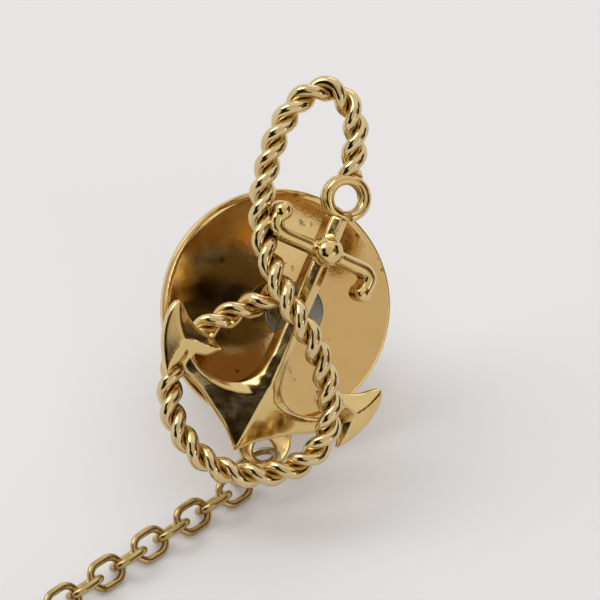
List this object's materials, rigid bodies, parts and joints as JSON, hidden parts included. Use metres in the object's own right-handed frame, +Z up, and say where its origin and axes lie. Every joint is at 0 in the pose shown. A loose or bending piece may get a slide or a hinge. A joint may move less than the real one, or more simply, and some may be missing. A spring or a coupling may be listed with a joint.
{
  "type": "tie tack",
  "caption": "Anchor-shaped tie tack with a twisted rope loop, a grooved pin held by a ball-locking clutch with a dished disc, and a safety chain ending in a T-bar.",
  "frame": {"origin": "middle of the overall box on the table top, at the height of the lowest point", "axes": "+Z up from the table that the tack lies on; the chain runs off towards -X and -Y; the pin points back and down, along (-0.288, 0.747, -0.599)"},
  "size_m": [0.0272, 0.0474, 0.0183],
  "materials": {
    "anchor_gold": "cast, gold plated and polished, plate worn to grey metal on edges",
    "rope_gold": "drawn wire, gold plated and polished",
    "disc_gold": "pressed, gold plated and polished, with fine scratches and small tarnish spots",
    "chain_gold": "drawn wire, gold plated, plate worn",
    "worn_nickel": "gold plate worn through to nickel",
    "pin_nickel": "nickel plated, polished",
    "ball_steel": "hardened steel balls, polished",
    "spring_steel": "drawn spring wire",
    "turned_brass": "turned brass, satin"
  },
  "bodies": {
    "head": {"anchor": "anchor_gold", "anchor_ring": "anchor_gold", "rope_strand_a": "rope_gold", "rope_strand_b": "rope_gold", "post": "pin_nickel"},
    "locking_balls": {"locking_balls": "ball_steel"},
    "clutch": {"clutch_disc": "disc_gold", "clutch_housing": "disc_gold", "spring_plate": "turned_brass", "release_spring": "spring_steel"},
    "release": {"release_plunger": "turned_brass", "release_knob": "disc_gold"},
    "jump_ring": {"chain_jump_ring": "worn_nickel"},
    "link_01": {"chain_link_01": "chain_gold"},
    "link_02": {"chain_link_02": "chain_gold"},
    "link_03": {"chain_link_03": "chain_gold"},
    "link_04": {"chain_link_04": "chain_gold"},
    "link_05": {"chain_link_05": "chain_gold"},
    "link_06": {"chain_link_06": "chain_gold"},
    "link_07": {"chain_link_07": "chain_gold"},
    "link_08": {"chain_link_08": "chain_gold"},
    "link_09": {"chain_link_09": "chain_gold"},
    "link_10": {"chain_link_10": "chain_gold"},
    "link_11": {"chain_link_11": "chain_gold"},
    "link_12": {"chain_link_12": "chain_gold"},
    "link_13": {"chain_link_13": "chain_gold"},
    "link_14": {"chain_link_14": "chain_gold"},
    "link_15": {"chain_link_15": "chain_gold"},
    "link_16": {"chain_link_16": "chain_gold"},
    "link_17": {"chain_link_17": "chain_gold"},
    "link_18": {"chain_link_18": "chain_gold"},
    "link_19": {"chain_link_19": "chain_gold"},
    "link_20": {"chain_link_20": "chain_gold"},
    "link_21": {"chain_link_21": "chain_gold"},
    "link_22": {"chain_link_22": "chain_gold"},
    "link_23": {"chain_link_23": "chain_gold"},
    "link_24": {"chain_link_24": "chain_gold"},
    "end_ring": {"chain_end_ring": "chain_gold"},
    "t_bar": {"t_bar": "chain_gold"}
  },
  "joints": [
    {"name": "clutch_slide", "type": "slide", "parent": "head", "child": "locking_balls", "axis": [-0.2879, 0.7474, -0.5988], "range_m": [-0.0005, 0.009]},
    {"name": "clutch_swivel", "type": "hinge", "parent": "locking_balls", "child": "clutch", "pos_m": [0.00861, 0.01426, 0.0085], "axis": [0.2879, -0.7474, 0.5988], "continuous": true},
    {"name": "release_pull", "type": "slide", "parent": "clutch", "child": "release", "axis": [-0.2879, 0.7474, -0.5988], "range_m": [0, 0.0007], "stiffness_N_per_m": 1200, "springref_m": -0.0004, "deforming": ["release_spring"]},
    {"name": "jump_ring_swing", "type": "hinge", "parent": "clutch", "child": "jump_ring", "pos_m": [0.00702, 0.012, 0.00093], "axis": [0.9536, 0.1661, -0.2512], "range_deg": [-15, 25]},
    {"name": "link_01_swing", "type": "hinge", "parent": "jump_ring", "child": "link_01", "pos_m": [0.00602, 0.00966, 0.00076], "axis": [0.7939, -0.4048, 0.4537], "range_deg": [-60, 60]},
    {"name": "link_02_swing", "type": "hinge", "parent": "link_01", "child": "link_02", "pos_m": [0.00489, 0.00875, 0.00066], "axis": [0.4858, -0.5138, -0.7071], "range_deg": [-60, 60]},
    {"name": "link_03_swing", "type": "hinge", "parent": "link_02", "child": "link_03", "pos_m": [0.00384, 0.00775, 0.00066], "axis": [-0.4858, 0.5138, -0.7071], "range_deg": [-60, 60]},
    {"name": "link_04_swing", "type": "hinge", "parent": "link_03", "child": "link_04", "pos_m": [0.00278, 0.00675, 0.00066], "axis": [-0.4858, 0.5138, 0.7071], "range_deg": [-60, 60]},
    {"name": "link_05_swing", "type": "hinge", "parent": "link_04", "child": "link_05", "pos_m": [0.00173, 0.00576, 0.00066], "axis": [0.4858, -0.5138, 0.7071], "range_deg": [-60, 60]},
    {"name": "link_06_swing", "type": "hinge", "parent": "link_05", "child": "link_06", "pos_m": [0.00068, 0.00476, 0.00066], "axis": [0.4858, -0.5138, -0.7071], "range_deg": [-60, 60]},
    {"name": "link_07_swing", "type": "hinge", "parent": "link_06", "child": "link_07", "pos_m": [-0.00038, 0.00376, 0.00066], "axis": [-0.4858, 0.5138, -0.7071], "range_deg": [-60, 60]},
    {"name": "link_08_swing", "type": "hinge", "parent": "link_07", "child": "link_08", "pos_m": [-0.00143, 0.00277, 0.00066], "axis": [-0.4858, 0.5138, 0.7071], "range_deg": [-60, 60]},
    {"name": "link_09_swing", "type": "hinge", "parent": "link_08", "child": "link_09", "pos_m": [-0.00249, 0.00177, 0.00066], "axis": [0.4858, -0.5138, 0.7071], "range_deg": [-60, 60]},
    {"name": "link_10_swing", "type": "hinge", "parent": "link_09", "child": "link_10", "pos_m": [-0.00354, 0.00078, 0.00066], "axis": [0.4858, -0.5138, -0.7071], "range_deg": [-60, 60]},
    {"name": "link_11_swing", "type": "hinge", "parent": "link_10", "child": "link_11", "pos_m": [-0.00459, -0.00022, 0.00066], "axis": [-0.4858, 0.5138, -0.7071], "range_deg": [-60, 60]},
    {"name": "link_12_swing", "type": "hinge", "parent": "link_11", "child": "link_12", "pos_m": [-0.00565, -0.00122, 0.00066], "axis": [-0.4858, 0.5138, 0.7071], "range_deg": [-60, 60]},
    {"name": "link_13_swing", "type": "hinge", "parent": "link_12", "child": "link_13", "pos_m": [-0.0066, -0.00231, 0.00066], "axis": [0.5288, -0.4695, 0.7071], "range_deg": [-60, 60]},
    {"name": "link_14_swing", "type": "hinge", "parent": "link_13", "child": "link_14", "pos_m": [-0.00745, -0.00349, 0.00066], "axis": [0.5677, -0.4216, -0.7071], "range_deg": [-60, 60]},
    {"name": "link_15_swing", "type": "hinge", "parent": "link_14", "child": "link_15", "pos_m": [-0.00819, -0.00473, 0.00066], "axis": [-0.6023, 0.3705, -0.7071], "range_deg": [-60, 60]},
    {"name": "link_16_swing", "type": "hinge", "parent": "link_15", "child": "link_16", "pos_m": [-0.00882, -0.00604, 0.00066], "axis": [-0.6323, 0.3166, 0.7071], "range_deg": [-60, 60]},
    {"name": "link_17_swing", "type": "hinge", "parent": "link_16", "child": "link_17", "pos_m": [-0.00934, -0.00739, 0.00066], "axis": [0.6575, -0.2603, 0.7071], "range_deg": [-60, 60]},
    {"name": "link_18_swing", "type": "hinge", "parent": "link_17", "child": "link_18", "pos_m": [-0.00974, -0.00879, 0.00066], "axis": [0.6776, -0.202, -0.7071], "range_deg": [-60, 60]},
    {"name": "link_19_swing", "type": "hinge", "parent": "link_18", "child": "link_19", "pos_m": [-0.01001, -0.01021, 0.00066], "axis": [-0.6927, 0.1422, -0.7071], "range_deg": [-60, 60]},
    {"name": "link_20_swing", "type": "hinge", "parent": "link_19", "child": "link_20", "pos_m": [-0.01016, -0.01166, 0.00066], "axis": [-0.7024, 0.0813, 0.7071], "range_deg": [-60, 60]},
    {"name": "link_21_swing", "type": "hinge", "parent": "link_20", "child": "link_21", "pos_m": [-0.01018, -0.01311, 0.00066], "axis": [0.7068, -0.0197, 0.7071], "range_deg": [-60, 60]},
    {"name": "link_22_swing", "type": "hinge", "parent": "link_21", "child": "link_22", "pos_m": [-0.01008, -0.01455, 0.00066], "axis": [0.7059, 0.0419, -0.7071], "range_deg": [-60, 60]},
    {"name": "link_23_swing", "type": "hinge", "parent": "link_22", "child": "link_23", "pos_m": [-0.00985, -0.01598, 0.00066], "axis": [-0.6995, -0.1033, -0.7071], "range_deg": [-60, 60]},
    {"name": "link_24_swing", "type": "hinge", "parent": "link_23", "child": "link_24", "pos_m": [-0.0095, -0.01739, 0.00066], "axis": [-0.6879, -0.1639, 0.7071], "range_deg": [-60, 60]},
    {"name": "end_ring_swing", "type": "hinge", "parent": "link_24", "child": "end_ring", "pos_m": [-0.00902, -0.01876, 0.00066], "axis": [0.671, 0.2232, 0.7071], "range_deg": [-60, 60]},
    {"name": "t_bar_swing", "type": "hinge", "parent": "end_ring", "child": "t_bar", "pos_m": [-0.00853, -0.01985, 0.00076], "axis": [0.649, 0.2808, -0.7071], "range_deg": [-60, 60]}
  ]
}
